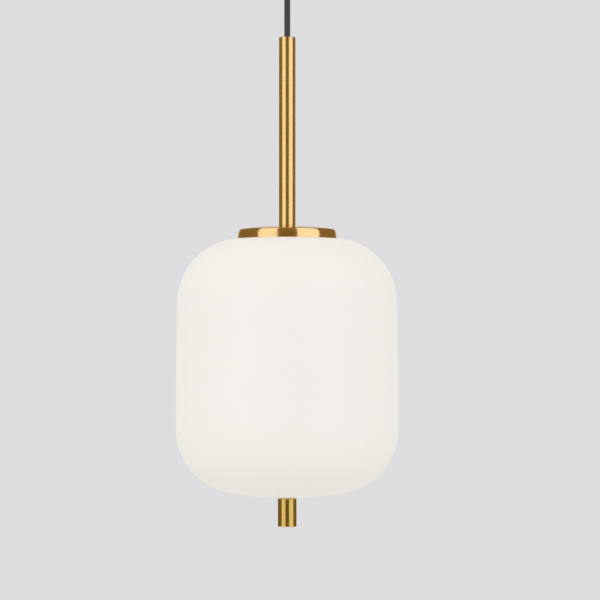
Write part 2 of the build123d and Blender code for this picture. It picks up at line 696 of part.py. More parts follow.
# Sleeve of the lampholder, with a small step at its top: radius, and drop below the joint.
SLEEVE_LINE = (
    (HOLDER_R - HOLDER_WALL, 0.0),
    (19.8, 0.0),
    (19.8, 5.0),
    (18.6, 6.0),
    (18.6, HOLDER_SLEEVE),
    (SHELL_R + SHELL_GAP, HOLDER_SLEEVE),
    (SHELL_R + SHELL_GAP, HOLDER_SLEEVE - HOLDER_LIP),
    (HOLDER_R - HOLDER_WALL, HOLDER_SLEEVE - HOLDER_LIP),
)
with BuildPart() as socket_body:
    turned(*below(HOLDER_JOINT, SLEEVE_LINE))
socket_body.part.label = "socket_body"
export_step(socket_body.part, "parts/socket_body.step")

# Ceramic insert across the lampholder, with wells for the terminal screws.
HOLDER_SCREW_PITCH = 20.0
HOLDER_SCREW_R = 2.0
HOLDER_WELL_R = 2.1
CONTACT_PIN_R = 1.9
CONTACT_HOLE_R = 2.0
with BuildPart() as socket_insert:
    rod(HOLDER_R - HOLDER_WALL - INSERT_GAP, INSERT_BOTTOM, INSERT_TOP)
    with BuildSketch(Plane.XY.offset(INSERT_BOTTOM)):
        with GridLocations(HOLDER_SCREW_PITCH, 1, 2, 1):
            Circle(HOLDER_WELL_R)
        with Locations((0, 0)):
            Circle(CONTACT_HOLE_R)
    extrude(amount=INSERT_TOP - INSERT_BOTTOM, mode=Mode.SUBTRACT)
socket_insert.part.label = "socket_insert"
export_step(socket_insert.part, "parts/socket_insert.step")

# Brass screw shell that the bulb turns into.
SHELL_HOLE_R = 6.0
SHELL_FLOOR = INSERT_BOTTOM - 0.7
with BuildPart() as screw_shell:
    turned(
        (SHELL_HOLE_R, INSERT_BOTTOM),
        (SHELL_R, INSERT_BOTTOM),
        (SHELL_R, SHELL_MOUTH),
        (SHELL_BORE_R, SHELL_MOUTH),
        (SHELL_BORE_R, SHELL_FLOOR),
        (SHELL_HOLE_R, SHELL_FLOOR),
    )
screw_shell.part.label = "screw_shell"
export_step(screw_shell.part, "parts/screw_shell.step")

# Centre contact: a pin through the insert with a wider tip that meets the bulb.
CONTACT_TIP = INSERT_BOTTOM - 2.5
CONTACT_TIP_R = 4.2
CONTACT_TIP_HEIGHT = 0.8
with BuildPart() as center_contact:
    rod(CONTACT_PIN_R, CONTACT_TIP, INSERT_TOP)
    rod(CONTACT_TIP_R, CONTACT_TIP, CONTACT_TIP + CONTACT_TIP_HEIGHT)
center_contact.part.label = "center_contact"
export_step(center_contact.part, "parts/center_contact.step")

# Two terminal screws in the insert.
HOLDER_SCREW_END = INSERT_BOTTOM + 1.0
HOLDER_HEAD_R = 3.0
HOLDER_HEAD_TOP = INSERT_TOP + 1.6
HOLDER_SLOT_LENGTH = 6.4
HOLDER_SLOT_WIDTH = 0.7
HOLDER_SLOT_DEPTH = 0.8
with BuildPart() as socket_screws:
    with BuildSketch(Plane.XY.offset(HOLDER_SCREW_END)):
        with GridLocations(HOLDER_SCREW_PITCH, 1, 2, 1):
            Circle(HOLDER_SCREW_R)
    extrude(amount=INSERT_TOP - HOLDER_SCREW_END)
    with BuildSketch(Plane.XY.offset(INSERT_TOP)):
        with GridLocations(HOLDER_SCREW_PITCH, 1, 2, 1):
            Circle(HOLDER_HEAD_R)
    extrude(amount=HOLDER_HEAD_TOP - INSERT_TOP)
    with BuildSketch(Plane.XY.offset(HOLDER_HEAD_TOP)):
        with GridLocations(HOLDER_SCREW_PITCH, 1, 2, 1):
            Rectangle(HOLDER_SLOT_LENGTH, HOLDER_SLOT_WIDTH)
    extrude(amount=-HOLDER_SLOT_DEPTH, mode=Mode.SUBTRACT)
socket_screws.part.label = "socket_screws"
export_step(socket_screws.part, "parts/socket_screws.step")

# Two conductors from the end of the cord to the terminal screws.
SOCKET_LEAD_X = 1.4
SOCKET_LEAD_TURN = NIPPLE_BOTTOM - 2.5
SOCKET_LEAD_CREST = INSERT_TOP + 4.6
SOCKET_LEAD_BEND_R = 1.4
with BuildPart() as socket_leads:
    for side in (-1, 1):
        route = (
            (side * SOCKET_LEAD_X, 0, STEM_CORD_BOTTOM),
            (side * SOCKET_LEAD_X, 0, SOCKET_LEAD_TURN),
            (side * HOLDER_SCREW_PITCH / 2, 0, SOCKET_LEAD_CREST),
            (side * HOLDER_SCREW_PITCH / 2, 0, HOLDER_HEAD_TOP),
        )
        wire(LEAD_R, route, SOCKET_LEAD_BEND_R)
socket_leads.part.label = "socket_leads"
export_step(socket_leads.part, "parts/socket_leads.step")

# ---------------------------------------------------------------- bulb

BULB_TIP = CONTACT_TIP
BEAD_R = 6.0
BEAD_HEIGHT = 3.6
BASE_R = 13.2
BASE_WALL = 0.6
BASE_DROP = 4.0
BASE_LENGTH = 21.0
BASE_TOP = BULB_TIP - BASE_DROP
BASE_BOTTOM = BASE_TOP - BASE_LENGTH
COLLAR_PLUG_R = 12.55
COLLAR_PLUG = 12.0
COLLAR_LENGTH = 30.0
COLLAR_BOTTOM = BASE_BOTTOM - COLLAR_LENGTH
GLOBE_R = 30.0
GLOBE_DROP = 22.0
GLOBE_CENTRE = COLLAR_BOTTOM - GLOBE_DROP
GLOBE_WALL = 1.2
GLOBE_NECK_R = 26.0

# Screw cap of the bulb, a thin shell closed by the tip's insulator: radius, and drop
# below the shoulder.
BASE_LINE = (
    (BEAD_R, -1.5),
    (11.2, 0.0),
    (BASE_R, 2.0),
    (BASE_R, BASE_LENGTH),
    (BASE_R - BASE_WALL, BASE_LENGTH),
    (BASE_R - BASE_WALL, 2.2),
    (11.0, 0.7),
    (BEAD_R, -0.8),
)
with BuildPart() as bulb_base:
    turned(*below(BASE_TOP, BASE_LINE))
bulb_base.part.label = "bulb_base"
export_step(bulb_base.part, "parts/bulb_base.step")

# Tip contact with its black insulating bead: radius, and drop below the tip.
BEAD_LINE = (
    (0.0, 0.0),
    (3.6, 0.0),
    (4.4, 1.2),
    (BEAD_R, 2.6),
    (BEAD_R, BEAD_HEIGHT),
    (0.0, BEAD_HEIGHT),
)
with BuildPart() as bulb_contact:
    turned(*below(BULB_TIP, BEAD_LINE))
bulb_contact.part.label = "bulb_contact"
export_step(bulb_contact.part, "parts/bulb_contact.step")

# Plastic body that widens from the screw cap to the envelope: radius, and drop below the
# screw cap's edge.
COLLAR_LINE = (
    (0.0, -COLLAR_PLUG),
    (COLLAR_PLUG_R, -COLLAR_PLUG),
    (COLLAR_PLUG_R, 0.0),
    (14.5, 0.0),
    (16.5, 8.0),
    (23.6, 24.0),
    (GLOBE_NECK_R, COLLAR_LENGTH),
    (0.0, COLLAR_LENGTH),
)
with BuildPart() as bulb_collar:
    turned(*below(BASE_BOTTOM, COLLAR_LINE))
bulb_collar.part.label = "bulb_collar"
export_step(bulb_collar.part, "parts/bulb_collar.step")

# Disc that carries the light sources, on the face of the collar.
BOARD_R = 21.0
BOARD_FACE = COLLAR_BOTTOM - 1.2
LED_COUNT = 10
LED_RING_R = 14.0
LED_LENGTH = 3.5
LED_WIDTH = 2.8
LED_HEIGHT = 0.8
with BuildPart() as led_board:
    rod(BOARD_R, BOARD_FACE, COLLAR_BOTTOM)
    with BuildSketch(Plane.XY.offset(BOARD_FACE)):
        with PolarLocations(LED_RING_R, LED_COUNT):
            Rectangle(LED_LENGTH, LED_WIDTH)
    extrude(amount=-LED_HEIGHT)
led_board.part.label = "led_board"
export_step(led_board.part, "parts/led_board.step")


def globe_line(inset):
    """One face of the envelope: from its neck round to the lowest point."""
    waist_r = GLOBE_R - inset
    neck = (GLOBE_NECK_R - inset, COLLAR_BOTTOM)
    TangentArc((waist_r, GLOBE_CENTRE), neck, tangent=(0, 1))
    CenterArc((0, GLOBE_CENTRE), waist_r, 270, 90)


# Frosted envelope of the bulb, a thin shell.
with BuildPart() as bulb_globe:
    with BuildSketch(Plane.XZ):
        with BuildLine():
            globe_line(0.0)
            globe_line(GLOBE_WALL)
            Line((GLOBE_NECK_R - GLOBE_WALL, COLLAR_BOTTOM), (GLOBE_NECK_R, COLLAR_BOTTOM))
            Line((0, GLOBE_CENTRE - GLOBE_R), (0, GLOBE_CENTRE - GLOBE_R + GLOBE_WALL))
        make_face()
    revolve(axis=Axis.Z)
bulb_globe.part.label = "bulb_globe"
export_step(bulb_globe.part, "parts/bulb_globe.step")

# ---------------------------------------------------------------- glass shade

# Opal glass with a wide mouth under the cap and a small hole for the stud.
CUT_MARGIN = 2.0
with BuildPart() as glass_shade:
    with BuildSketch(Plane.XZ):
        with BuildLine():
            outer_end = glass_line(0.0)
            inner_end = glass_line(GLASS_WALL)
            Line(outer_end, inner_end)
            Line((GLASS_MOUTH_R, GLASS_TOP), (GLASS_MOUTH_R, GLASS_TOP - GLASS_WALL))
        make_face()
    revolve(axis=Axis.Z)
    with BuildSketch(Plane.XY.offset(GLASS_BOTTOM - CUT_MARGIN)):
        Circle(GLASS_HOLE_R)
    extrude(amount=GLASS_WALL + 2 * CUT_MARGIN, mode=Mode.SUBTRACT)
glass_shade.part.label = "glass_shade"
export_step(glass_shade.part, "parts/glass_shade.step")

# Flanged bush that keeps the stud off the edge of the hole.
INNER_BOTTOM = GLASS_BOTTOM + GLASS_WALL
GROMMET_GAP = 0.1
GROMMET_BORE_R = 3.6
GROMMET_FLANGE_R = 9.0
GROMMET_SEAT = INNER_BOTTOM + 0.25
GROMMET_TOP = INNER_BOTTOM + 1.8
with BuildPart() as glass_grommet:
    ring(GLASS_HOLE_R - GROMMET_GAP, GROMMET_BORE_R, GLASS_BOTTOM + GROMMET_GAP, GROMMET_TOP)
    ring(GROMMET_FLANGE_R, GROMMET_BORE_R, GROMMET_SEAT, GROMMET_TOP)
glass_grommet.part.label = "glass_grommet"
export_step(glass_grommet.part, "parts/glass_grommet.step")

# ---------------------------------------------------------------- washers and finial

RUBBER_BOTTOM = GLASS_BOTTOM - RUBBER_GAP - RUBBER_WASHER
STEEL_TOP = RUBBER_BOTTOM - STEEL_GAP

# Soft washer against the glass.
with BuildPart() as rubber_washer:
    ring(WASHER_R, STUD_R + WASHER_PLAY, RUBBER_BOTTOM, RUBBER_BOTTOM + RUBBER_WASHER)
rubber_washer.part.label = "rubber_washer"
export_step(rubber_washer.part, "parts/rubber_washer.step")

# Steel washer between the soft washer and the finial.
with BuildPart() as steel_washer:
    ring(WASHER_R, STUD_R + WASHER_PLAY, STEEL_TOP - STEEL_WASHER, STEEL_TOP)
steel_washer.part.label = "steel_washer"
export_step(steel_washer.part, "parts/steel_washer.step")

# Brass thumb nut: plain cylinder, recessed for the washers, with a blind threaded hole.
with BuildPart() as finial:
    rod(FINIAL_R, FINIAL_BOTTOM, FINIAL_TOP)
    chamfer(finial.edges().filter_by(GeomType.CIRCLE), FINIAL_CHAMFER)
    with BuildSketch(Plane.XY.offset(FINIAL_TOP)):
        Circle(FINIAL_RECESS_R)
    extrude(amount=-FINIAL_RECESS, mode=Mode.SUBTRACT)
    with BuildSketch(Plane.XY.offset(FINIAL_TOP)):
        Circle(STUD_R + FINIAL_BORE_GAP)
    extrude(amount=-FINIAL_BORE_DEPTH, mode=Mode.SUBTRACT)
finial.part.label = "finial"
export_step(finial.part, "parts/finial.step")
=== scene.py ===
from math import asin, atan2, cos, degrees, pi, radians, sin

import bmesh
import bpy
import numpy as np
from bpy.props import FloatProperty, FloatVectorProperty, IntProperty, PointerProperty
from mathutils import Euler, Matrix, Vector


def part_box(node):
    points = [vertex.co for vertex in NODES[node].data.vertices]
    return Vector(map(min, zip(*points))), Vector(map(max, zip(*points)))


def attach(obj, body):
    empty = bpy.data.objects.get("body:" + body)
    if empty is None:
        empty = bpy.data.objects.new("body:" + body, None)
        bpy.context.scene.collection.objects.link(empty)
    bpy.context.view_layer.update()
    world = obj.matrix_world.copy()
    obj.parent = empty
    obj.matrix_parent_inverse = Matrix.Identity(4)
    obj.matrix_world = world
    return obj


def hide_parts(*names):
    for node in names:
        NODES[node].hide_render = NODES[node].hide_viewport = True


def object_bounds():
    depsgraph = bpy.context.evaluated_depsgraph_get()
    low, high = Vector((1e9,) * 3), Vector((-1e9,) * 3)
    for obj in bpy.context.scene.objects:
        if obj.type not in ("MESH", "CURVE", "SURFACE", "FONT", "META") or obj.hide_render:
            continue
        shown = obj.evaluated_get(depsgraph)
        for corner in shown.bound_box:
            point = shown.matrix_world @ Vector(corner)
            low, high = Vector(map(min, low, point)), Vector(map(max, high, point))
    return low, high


bl_info = {
    "name": "Opal Pendant Light",
    "version": (1, 0, 0),
    "blender": (4, 5, 0),
    "location": "View3D > Sidebar > Pendant",
    "description": "Opal glass, satin brass, braided cord and inner parts of a pendant light",
    "category": "Add Mesh",
}

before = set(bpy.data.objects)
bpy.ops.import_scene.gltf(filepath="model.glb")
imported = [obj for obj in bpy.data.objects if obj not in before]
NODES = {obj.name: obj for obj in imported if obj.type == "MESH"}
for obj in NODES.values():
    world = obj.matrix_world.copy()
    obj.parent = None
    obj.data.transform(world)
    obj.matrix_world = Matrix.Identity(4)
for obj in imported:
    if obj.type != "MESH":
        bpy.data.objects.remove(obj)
CAD_BOX = [list(corner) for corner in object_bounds()]
MM = 0.001

# The cord's route, from its pivot in the ceiling grip to its pivot in the stem.
CORD_ROUTE = ((0.0, 0.0, -0.036), (0.0, 0.0, -0.1))

# Glass wall, in mm: a flat top, then tangent arcs, each a radius and the slope at its end in
# degrees.
GLASS_FLAT_R = 52.3
GLASS_ARCS = ((41.2, 16.8), (64.7, 88.78), (4843.0, 90.3), (64.0, 169.0))
GLASS_HOLE_R = 6.0
GLASS_LIP_R = 0.6
GLASS_STEP = 2.4
GLASS_SEGMENTS = 224

# Cap shell, in mm and degrees.
CAP_SEAT_R = 9.0
CAP_HOLE_R = 5.05
CAP_WALL = 1.5
CAP_DOME_R = 260.0
CAP_EDGE_R = 1.6
CAP_EDGE_END = 70.5
CAP_SIDE_R = 21.0
CAP_RIM_R = 0.25
CAP_STEP = 1.2
CAP_SEGMENTS = 256

# Stem and thumb nut.
STEM_EDGE_R = 1.9 * MM
STEM_CHAMFER = 0.2 * MM
STEM_FOOT_RUN = 0.02
NUT_EDGE_R = 0.9 * MM
NUT_RECESS_R = 7.6 * MM
NUT_RECESS = 2.1 * MM
NUT_HOLE_R = 3.06 * MM
NUT_HOLE = 19.0 * MM
NUT_DRILL_TIP = 1.5 * MM
NUT_HOLE_CHAMFER = 0.3 * MM
TURNED_SEGMENTS = 128

# Threads of the stud and the rods.
STUD_PITCH = 1.0 * MM
ROD_PITCH = 0.8 * MM
ROD_THREAD_TOP = 16 * MM
ROD_THREAD_FOOT = 18 * MM
THREAD_DEPTH = 0.6
THREAD_STEPS = 8
THREAD_SEGMENTS = 40
THREAD_CHAMFER = 0.5 * MM

# Braid: its grid, the slant and crossing of its yarns, and how round their crowns are.
BRAID_COLUMNS = 192
BRAID_ROWS = 440
BRAID_SLANT = 1.35
BRAID_CROSSING = 30
BRAID_CROWN = 0.7

# Stage, in metres and degrees.
EYE_BELOW_STEM_TOP = 0.3634
AIM_ABOVE_EYE = 0.09955
AIM_ASIDE = 0.0128
CARD_DISTANCE = 2.0
CARD_LOW, CARD_HIGH = -62.0, 66.0
CARD_ROWS, CARD_COLUMNS = 40, 25
KEY_OFFSET = Vector((-1.8, -2.6, 1.6))
DRUM_R = 9.0
DRUM_TOP = 9.0
DRUM_SEGMENTS = 96
FLOOR_DROP = 4.2
DRUM_BELOW_FLOOR = 4.0


# ---------------------------------------------------------------- settings


class PendantGlassSettings(bpy.types.PropertyGroup):
    wall: FloatProperty(
        name="Wall", description="Thickness of the glass", default=3.5 * MM, unit="LENGTH"
    )
    mouth: FloatProperty(
        name="Mouth", description="Radius of the mouth under the cap", default=43 * MM,
        unit="LENGTH",
    )
    ripple: FloatProperty(
        name="Ripple", description="Height of the slow waves of blown glass", default=0.05 * MM,
        unit="LENGTH",
    )
    colour: FloatVectorProperty(
        name="Colour", description="White of the opal layer", subtype="COLOR",
        default=(0.648, 0.63, 0.602), size=3,
    )
    # Painted shade: the darker, warmer white given to the glass where it turns under.
    warm: FloatVectorProperty(
        name="Warm", description="Tint where the glass turns under", subtype="COLOR",
        default=(0.62, 0.585, 0.54), size=3,
    )
    glow: FloatProperty(
        name="Glow", description="Light that comes through the opal layer", default=0.375, min=0.0
    )
    glow_colour: FloatVectorProperty(
        name="Glow colour", description="Tint of the light from inside", subtype="COLOR",
        default=(1.0, 0.965, 0.915), size=3,
    )


class PendantBrassSettings(bpy.types.PropertyGroup):
    colour: FloatVectorProperty(
        name="Colour", description="Colour of the lacquered brass", subtype="COLOR",
        default=(0.9, 0.64, 0.3), size=3,
    )
    shade: FloatVectorProperty(
        name="Shade", description="Colour of its slightly toned patches", subtype="COLOR",
        default=(0.85, 0.58, 0.24), size=3,
    )
    roughness: FloatProperty(
        name="Roughness", description="Satin of the brass", default=0.13, min=0.0, max=1.0
    )
    grain: FloatProperty(
        name="Grain", description="Depth of the turning lines", default=0.012 * MM, unit="LENGTH"
    )


class PendantCordSettings(bpy.types.PropertyGroup):
    diameter: FloatProperty(
        name="Diameter", description="Outer diameter of the braided cord", default=6 * MM,
        unit="LENGTH",
    )
    carriers: IntProperty(
        name="Carriers", description="Yarns of the braid that run each way", default=16, min=4
    )
    relief: FloatProperty(
        name="Relief", description="How far a yarn stands out", default=0.16 * MM, unit="LENGTH"
    )
    colour: FloatVectorProperty(
        name="Colour", description="Charcoal of the yarn", subtype="COLOR",
        default=(0.032, 0.032, 0.04), size=3,
    )


class PendantStageSettings(bpy.types.PropertyGroup):
    distance: FloatProperty(
        name="Distance", description="From the camera to the lamp's axis", default=3.505,
        unit="LENGTH",
    )
    lens: FloatProperty(
        name="Lens", description="Focal length in millimetres", default=210.0, min=1.0
    )
    backdrop: FloatVectorProperty(
        name="Backdrop", description="Pale grey behind the lamp", subtype="COLOR",
        default=(0.723, 0.723, 0.738), size=3,
    )
    softbox: FloatProperty(
        name="Softbox", description="Brightness of the two front softboxes", default=1.12
    )
    fill: FloatProperty(
        name="Fill", description="Brightness of the light from all round", default=0.78
    )


# ---------------------------------------------------------------- surfaces


def make_mesh(name, points, faces, sharp=35.0):
    """A mesh object from points and faces, its poles closed and its hard edges marked."""
    mesh = bpy.data.meshes.new(name)
    mesh.from_pydata(points.tolist(), [], faces.tolist())
    work = bmesh.new()
    work.from_mesh(mesh)
    bmesh.ops.remove_doubles(work, verts=work.verts, dist=1e-7)
    work.to_mesh(mesh)
    work.free()
    mesh.shade_smooth()
    mesh.set_sharp_from_angle(angle=radians(sharp))
    piece = bpy.data.objects.new(name, mesh)
    bpy.context.scene.collection.objects.link(piece)
    return piece


def grid_faces(rows, columns, closed_rows):
    """Quads of a grid whose columns close round. Rows close too where the profile is a loop."""
    i = np.arange(rows if closed_rows else rows - 1)[:, None]
    j = np.arange(columns)[None, :]
    below = (i + 1) % rows
    beside = (j + 1) % columns
    corners = (i * columns + j, below * columns + j,
               below * columns + beside, i * columns + beside)
    return np.stack(corners, axis=-1).reshape(-1, 4)


def lathe(name, profile, segments, loop=True, ripple=None, centre=(0.0, 0.0), sharp=35.0):
    """A profile carried round a vertical axis.

    Each point is (r cos a, r sin a, z), for the angle a on a full turn. The profile goes down
    the outside and up the inside, so faces look outwards. ripple(a, z, r) adds to r.
    """
    r, z = np.asarray(profile, float).T
    a = np.arange(segments) * 2 * pi / segments
    turned = r[:, None] + (ripple(a[None, :], z[:, None], r[:, None]) if ripple else 0 * a)
    x = centre[0] + turned * np.cos(a)
    y = centre[1] + turned * np.sin(a)
    points = np.stack([x, y, np.broadcast_to(z[:, None], x.shape)], axis=-1).reshape(-1, 3)
    return make_mesh(name, points, grid_faces(len(r), segments, loop), sharp)


def slope_arcs(start, slope, arcs, inset, step):
    """Points down tangent arcs that bend steadily from level towards the axis.

    Along one arc r = r0 + R (sin t - sin t0) and z = z0 - R (cos t0 - cos t), for the slope t.
    """
    r, z = start
    rows = [np.array([[r, z]])]
    for radius, end in arcs:
        reach = radius - inset
        count = max(4, int(reach * radians(abs(end - slope)) / step))
        t = np.radians(np.linspace(slope, end, count + 1))[1:]
        t0 = radians(slope)
        out = r + reach * (np.sin(t) - sin(t0))
        down = z - reach * (cos(t0) - np.cos(t))
        rows.append(np.stack([out, down], 1))
        r, z = rows[-1][-1]
        slope = end
    return np.concatenate(rows)


def rounded(corners, radius, count=5):
    """A polyline of (r, z) corners with each inner corner rounded by a circular arc."""
    corners = [np.array(c, float) for c in corners]
    rows = [corners[0]]
    for before, corner, after in zip(corners, corners[1:], corners[2:]):
        inward = (before - corner) / np.linalg.norm(before - corner)
        onward = (after - corner) / np.linalg.norm(after - corner)
        half = np.arccos(np.clip(inward @ onward, -1, 1)) / 2
        reach = min(radius / np.tan(half), 0.45 * min(
            np.linalg.norm(before - corner), np.linalg.norm(after - corner)))
        t = np.linspace(0, 1, count)[:, None]
        start, end = corner + inward * reach, corner + onward * reach
        rows.extend((1 - t) ** 2 * start + 2 * t * (1 - t) * corner + t**2 * end)
    rows.append(corners[-1])
    return np.array(rows)


def span(node):
    """Outer radius, lowest level and highest level of a round CAD node, in metres."""
    low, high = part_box(node)
    return (high.x - low.x) / 2, low.z, high.z


def settle(piece, body, slot, material, *nodes):
    """Gives a new piece its material and body, and lets it stand for its CAD nodes. slot is not
    used.
    """
    piece.data.materials.clear()
    piece.data.materials.append(material)
    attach(piece, body)
    if nodes:
        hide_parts(*nodes)
    return piece


def dress(material, *names):
    """Gives CAD nodes that stay as they are a detailed material."""
    for name in names:
        for slot in NODES[name].material_slots:
            slot.link = "OBJECT"
            slot.material = material


# ---------------------------------------------------------------- materials


class Finish:
    """A Principled material with short calls for the textures that drive it."""

    def __init__(self, name, **values):
        self.material = bpy.data.materials.new(name)
        self.material.use_nodes = True
        self.nodes = self.material.node_tree.nodes
        self.links = self.material.node_tree.links
        self.shader = next(n for n in self.nodes if n.type == "BSDF_PRINCIPLED")
        self.coords = self.nodes.new("ShaderNodeTexCoord").outputs["Object"]
        for key, value in values.items():
            socket = self.shader.inputs[key.replace("_", " ").title().replace("Ior", "IOR")]
            socket.default_value = (*value, 1.0) if isinstance(value, (tuple, list)) else value
        self.heights = []

    def node(self, kind, **settings):
        made = self.nodes.new(kind)
        for key, value in settings.items():
            setattr(made, key, value)
        return made

    def feed(self, socket, value):
        if isinstance(value, bpy.types.NodeSocket):
            self.links.new(value, socket)
        else:
            socket.default_value = value

    def math(self, operation, first, second=0.0, third=0.0):
        made = self.node("ShaderNodeMath", operation=operation)
        for socket, value in zip(made.inputs, (first, second, third)):
            self.feed(socket, value)
        return made.outputs[0]

    def parts(self, vector):
        made = self.node("ShaderNodeSeparateXYZ")
        self.feed(made.inputs[0], vector)
        return made.outputs

    def vector(self, x, y, z):
        made = self.node("ShaderNodeCombineXYZ")
        for socket, value in zip(made.inputs, (x, y, z)):
            self.feed(socket, value)
        return made.outputs[0]

    def stretched(self, *scales):
        """Object coordinates, each axis times its own scale."""
        axes = self.parts(self.coords)
        return self.vector(*(self.math("MULTIPLY", a, k) for a, k in zip(axes, scales)))

    def noise(self, scale, detail=3.0, vector=None, roughness=0.55):
        made = self.node("ShaderNodeTexNoise")
        self.feed(made.inputs["Vector"], self.coords if vector is None else vector)
        made.inputs["Scale"].default_value = scale
        made.inputs["Detail"].default_value = detail
        made.inputs["Roughness"].default_value = roughness
        return made.outputs["Fac"]

    def ramp(self, value, low, high, to_low=0.0, to_high=1.0):
        made = self.node("ShaderNodeMapRange", interpolation_type="SMOOTHSTEP")
        for socket, number in zip(made.inputs, (value, low, high, to_low, to_high)):
            self.feed(socket, number)
        return made.outputs[0]

    def blend(self, share, first, second):
        made = self.node("ShaderNodeMix", data_type="RGBA")
        self.feed(made.inputs[0], share)
        for socket, value in zip((made.inputs[6], made.inputs[7]), (first, second)):
            self.feed(socket, (*value, 1.0) if isinstance(value, (tuple, list)) else value)
        return made.outputs[2]

    def set(self, socket, value):
        self.feed(self.shader.inputs[socket], value)

    def bump(self, height, depth, strength=1.0):
        """Adds a height field, depth metres from its lowest to its highest, to the bump."""
        made = self.node("ShaderNodeBump")
        made.inputs["Strength"].default_value = strength
        made.inputs["Distance"].default_value = depth
        self.feed(made.inputs["Height"], height)
        if self.heights:
            self.links.new(self.heights[-1], made.inputs["Normal"])
        self.heights.append(made.outputs[0])
        self.links.new(made.outputs[0], self.shader.inputs["Normal"])

    def round_axis(self, around, along):
        """Coordinates for a pattern that runs round the lamp's axis.

        The direction from the axis is scaled by around, and height plus radius by along.
        """
        x, y, z = self.parts(self.coords)
        radius = self.math("POWER", self.math("ADD", self.math("MULTIPLY", x, x),
                                              self.math("MULTIPLY", y, y)), 0.5)
        safe = self.math("MAXIMUM", radius, 1e-4)
        level = self.math("MULTIPLY", self.math("SUBTRACT", z, radius), along)
        return self.vector(
            self.math("MULTIPLY", self.math("DIVIDE", x, safe), around),
            self.math("MULTIPLY", self.math("DIVIDE", y, safe), around),
            level,
        )


def satin_brass(settings, name, depth=0.0, satin=0.0, drawn=False):
    """Lacquered brass: turning lines round the axis, faint toning, and a few soft marks.

    depth darkens and warms the colour, as painted shade on the thumb nut under the glass, and
    satin adds to the roughness. On drawn tube the lines run lengthwise instead.
    """
    deepened = [c * (1 - depth * k) for c, k in zip(settings.colour, (1.0, 0.95, 1.85))]
    toned = [c * (1 - depth * k) for c, k in zip(settings.shade, (1.0, 0.95, 1.85))]
    f = Finish(name, metallic=1.0)
    toning = f.ramp(f.noise(22.0, 4.0), 0.42, 0.7)
    if drawn:
        fine, wide = (f.stretched(across, across, 14.0) for across in (3600.0, 900.0))
    else:
        fine, wide = f.round_axis(1.4, 2600.0), f.round_axis(2.2, 700.0)
    lines, coarse = f.noise(1.0, 2.0, fine), f.noise(1.0, 3.0, wide)
    f.set("Base Color", f.blend(f.math("MULTIPLY", toning, 0.45), tuple(deepened), tuple(toned)))
    marks = f.ramp(f.noise(60.0, 5.0), 0.55, 0.8, 0.0, 0.05)
    middle = settings.roughness + satin
    rough = f.math("ADD", marks, f.ramp(coarse, 0.3, 0.7, middle - 0.03, middle + 0.03))
    f.set("Roughness", rough)
    f.bump(coarse, settings.grain, 0.2)
    f.bump(lines, settings.grain, 0.3)
    return f.material


def raw_brass():
    """Unlacquered turned brass of the inner fittings, a little dull and browned."""
    f = Finish("turned_brass_plain", metallic=1.0)
    tone = f.ramp(f.noise(180.0, 5.0), 0.35, 0.7)
    f.set("Base Color", f.blend(tone, (0.8, 0.6, 0.28), (0.55, 0.36, 0.14)))
    f.set("Roughness", f.ramp(f.noise(400.0, 3.0), 0.3, 0.7, 0.25, 0.42))
    f.bump(f.noise(1.0, 2.0, f.round_axis(2.0, 2200.0)), 0.02 * MM, 0.6)
    return f.material


def zinc_steel():
    """Zinc-plated steel: crystal mottle, a faint blue and straw cast, and fine scratches."""
    f = Finish("zinc_plated_steel", metallic=1.0)
    mottle = f.noise(260.0, 6.0)
    cast = f.ramp(f.noise(45.0, 2.0), 0.4, 0.65)
    grey = f.blend(cast, (0.6, 0.62, 0.66), (0.66, 0.63, 0.56))
    f.set("Base Color", f.blend(f.ramp(mottle, 0.4, 0.75, 0.0, 0.5), grey, (0.42, 0.43, 0.45)))
    f.set("Roughness", f.ramp(mottle, 0.3, 0.7, 0.26, 0.44))
    f.bump(f.noise(1.0, 2.0, f.stretched(150.0, 2600.0, 1.0)), 0.01 * MM, 0.5)
    f.bump(mottle, 0.02 * MM, 0.4)
    return f.material


def opal_glass(settings, low, high):
    """White opal layer, etched outside: cloudy on close view, and painted shade, warmer and
    darker, where it turns under.
    """
    f = Finish("opal_glass_etched", ior=1.5, specular_ior_level=0.2,
               emission_color=tuple(settings.glow_colour), emission_strength=settings.glow)
    z = f.parts(f.coords)[2]
    # Painted shade: towards the bottom the white turns darker and warmer, where the glass faces
    # down.
    under = f.ramp(z, low + 0.075, low + 0.004)
    cloud = f.ramp(f.noise(14.0, 5.0), 0.35, 0.7)
    white = f.blend(f.math("MULTIPLY", cloud, 0.25), tuple(settings.colour),
                    tuple(0.965 * c for c in settings.colour))
    f.set("Base Color", f.blend(under, white, tuple(settings.warm)))
    f.set("Roughness", f.ramp(f.noise(900.0, 3.0), 0.3, 0.7, 0.5, 0.62))
    f.bump(f.noise(35.0, 2.0), 0.05 * MM, 0.25)
    f.bump(f.noise(2600.0, 3.0), 0.006 * MM, 0.5)
    return f.material


def braid_yarn(settings):
    """Charcoal yarn: painted shade between the strands, with a lighter fuzz on their crowns."""
    f = Finish("charcoal_braid", specular_ior_level=0.8, sheen_weight=0.5, sheen_roughness=0.3)
    height = f.node("ShaderNodeAttribute", attribute_name="relief").outputs["Fac"]
    tone = tuple(settings.colour)
    painted_shade = tuple(0.35 * c for c in tone)
    fibre = f.noise(2400.0, 4.0)
    crown = f.blend(f.ramp(fibre, 0.35, 0.7), tuple(0.8 * c for c in tone),
                    tuple(1.25 * c for c in tone))
    # Painted shade: the yarn turns darker where the relief is low, between the strands.
    f.set("Base Color", f.blend(f.ramp(height, 0.15, 0.8), painted_shade, crown))
    f.set("Roughness", f.ramp(fibre, 0.3, 0.7, 0.36, 0.5))
    f.bump(fibre, 0.03 * MM, 0.3)
    return f.material


